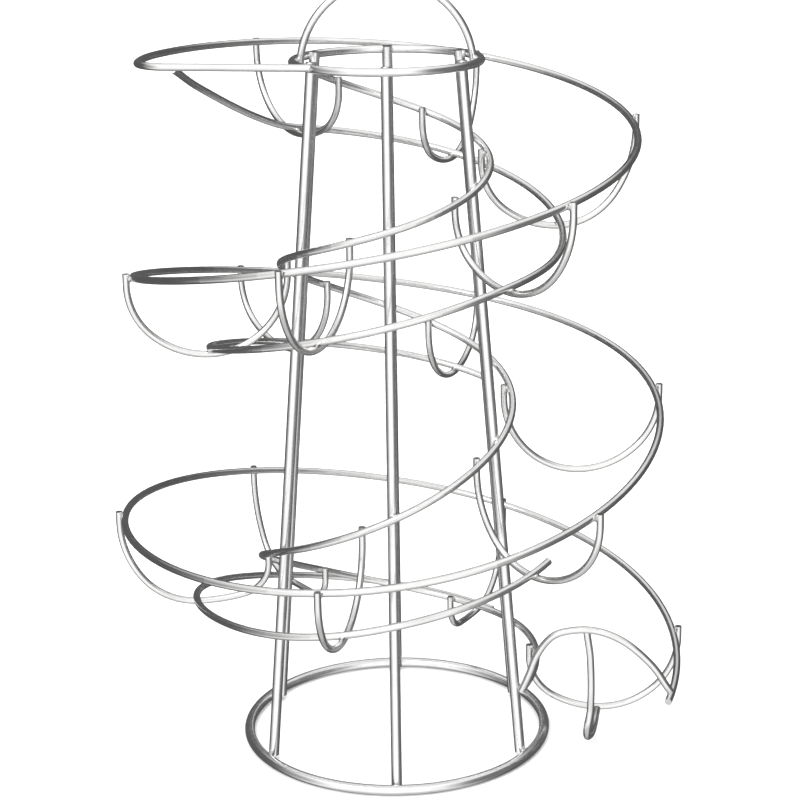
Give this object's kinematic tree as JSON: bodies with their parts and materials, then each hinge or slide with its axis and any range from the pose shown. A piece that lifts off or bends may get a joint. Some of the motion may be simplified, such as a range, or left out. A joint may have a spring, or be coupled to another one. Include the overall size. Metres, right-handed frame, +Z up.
{
  "type": "egg holder tray",
  "caption": "Spiral wire egg stand: a cone of legs between two rings carries a helical track of side rails, seat rail and U hoops, with a carry handle.",
  "frame": {"origin": "on the upright axis of the base ring, at table level", "axes": "+Z up along the axis, +Y to the back, +X to the right, where the low end of the track stops"},
  "size_m": [0.1993, 0.1908, 0.2665],
  "materials": {
    "plated_steel": "satin"
  },
  "bodies": {
    "root": {"base_ring": "plated_steel", "carry_handle": "plated_steel", "end_arch": "plated_steel", "end_stop": "plated_steel", "hoop_01": "plated_steel", "hoop_02": "plated_steel", "hoop_03": "plated_steel", "hoop_04": "plated_steel", "hoop_05": "plated_steel", "hoop_06": "plated_steel", "hoop_07": "plated_steel", "hoop_08": "plated_steel", "hoop_09": "plated_steel", "hoop_10": "plated_steel", "hoop_11": "plated_steel", "hoop_12": "plated_steel", "hoop_13": "plated_steel", "hoop_14": "plated_steel", "hoop_15": "plated_steel", "inner_rail": "plated_steel", "leg_1": "plated_steel", "leg_2": "plated_steel", "leg_3": "plated_steel", "leg_4": "plated_steel", "leg_5": "plated_steel", "leg_6": "plated_steel", "lower_seat_rail": "plated_steel", "outer_rail": "plated_steel", "top_ring": "plated_steel", "upper_seat_rail": "plated_steel"}
  },
  "joints": []
}
